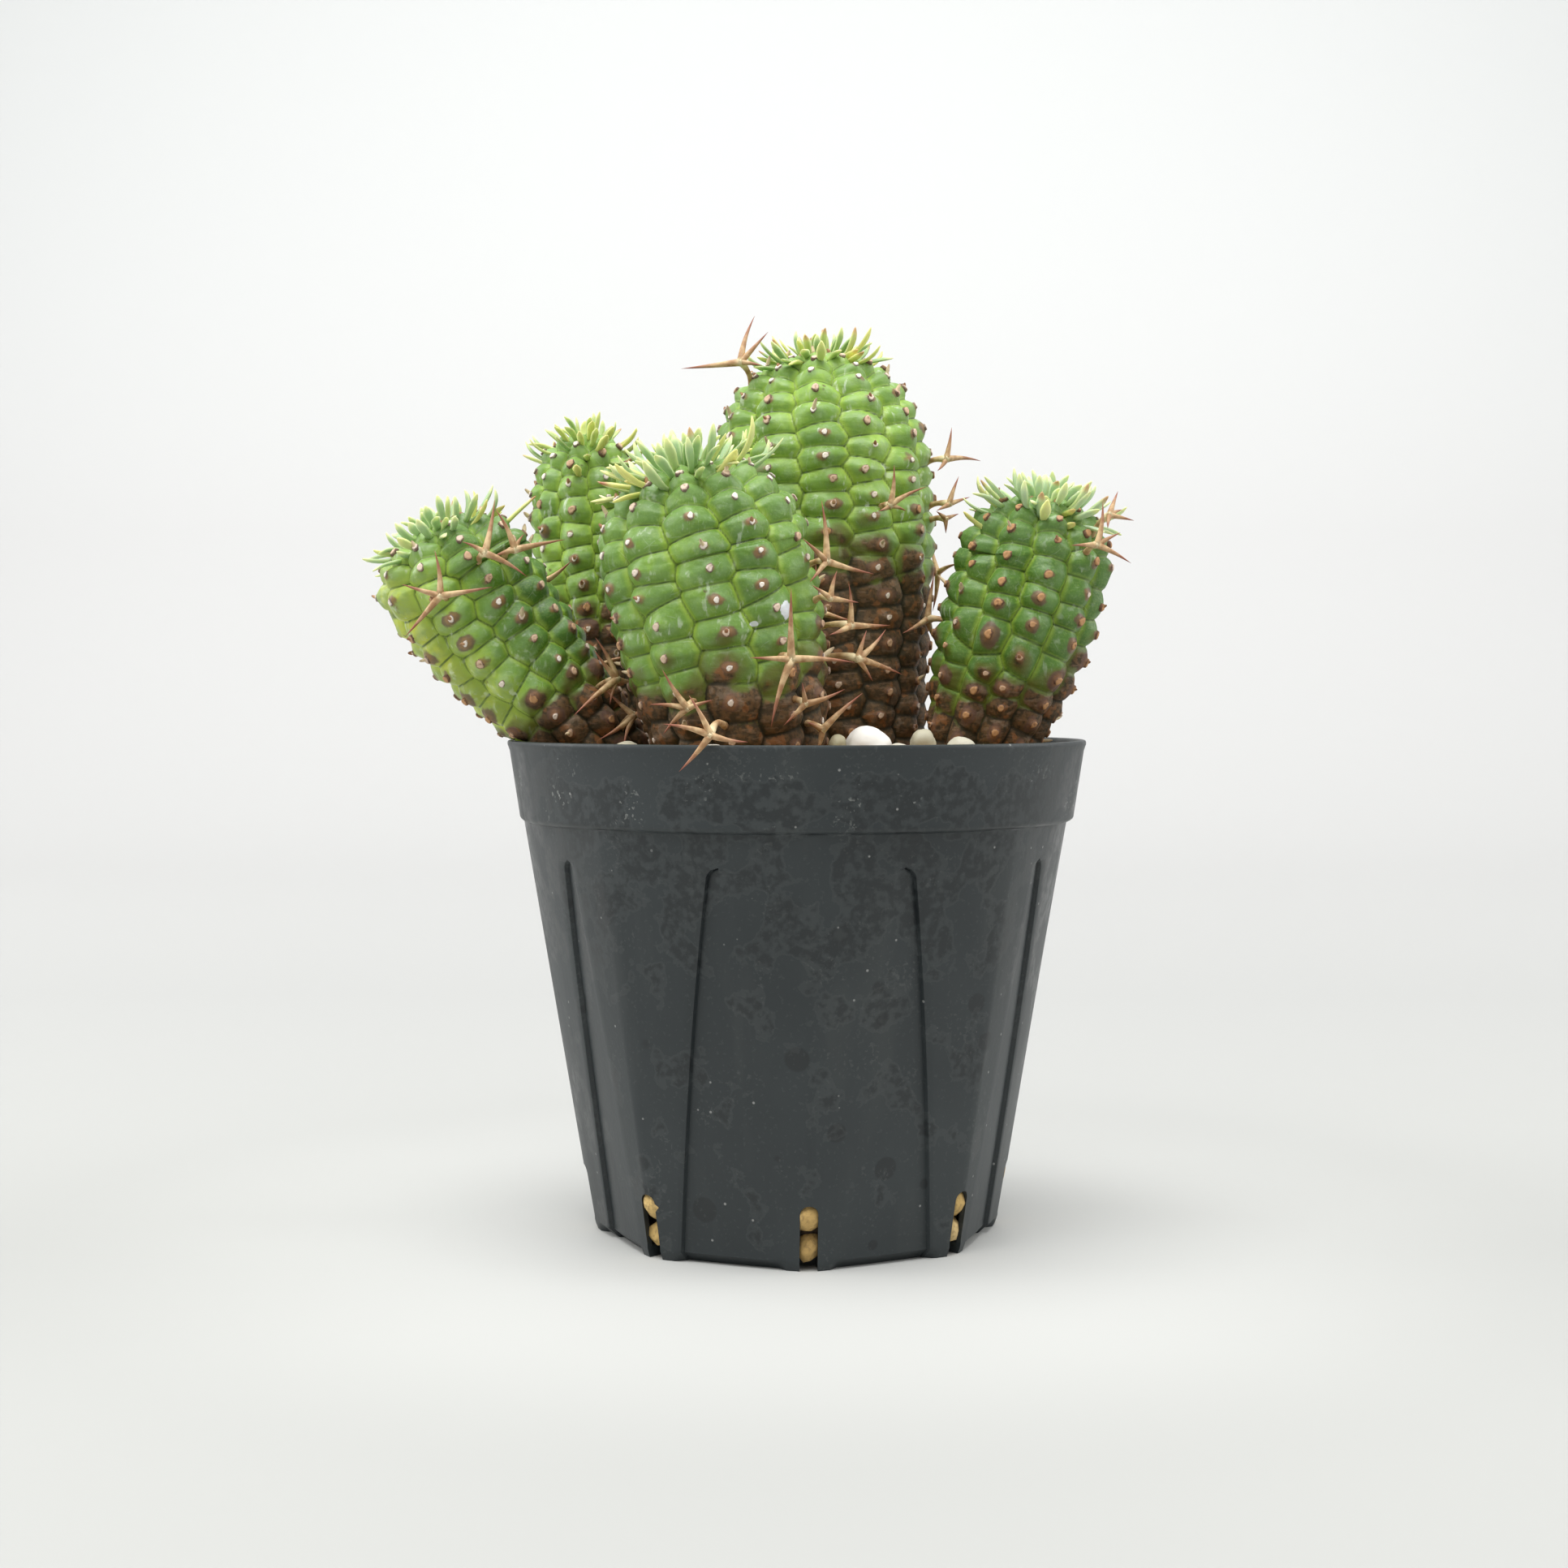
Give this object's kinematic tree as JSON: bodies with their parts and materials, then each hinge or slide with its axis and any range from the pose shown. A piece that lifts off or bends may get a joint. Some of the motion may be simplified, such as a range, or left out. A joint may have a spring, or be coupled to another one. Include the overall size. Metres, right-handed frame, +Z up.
{
  "type": "potted euphorbia",
  "caption": "Spiny succulent with ribbed, tubercled green stems and small crown leaves, growing from gritty soil in a dark tapering slit pot.",
  "frame": {"origin": "centre of the pot's underside, on the surface it stands on", "axes": "+Z up out of the pot; -Y is the front, where the picture is taken from; +X is to the right seen from the front"},
  "size_m": [0.1363, 0.1048, 0.1673],
  "materials": {
    "pot_plastic": "satin, weathered with pale water marks",
    "soil": "rough grains of pumice and clay grit",
    "stem": "satin, waxy succulent skin, corky brown low down"
  },
  "bodies": {
    "root": {"pot": "pot_plastic", "soil": "soil", "head_front": "stem", "head_tall": "stem", "head_left": "stem", "head_back_left": "stem", "head_right": "stem"}
  },
  "joints": []
}
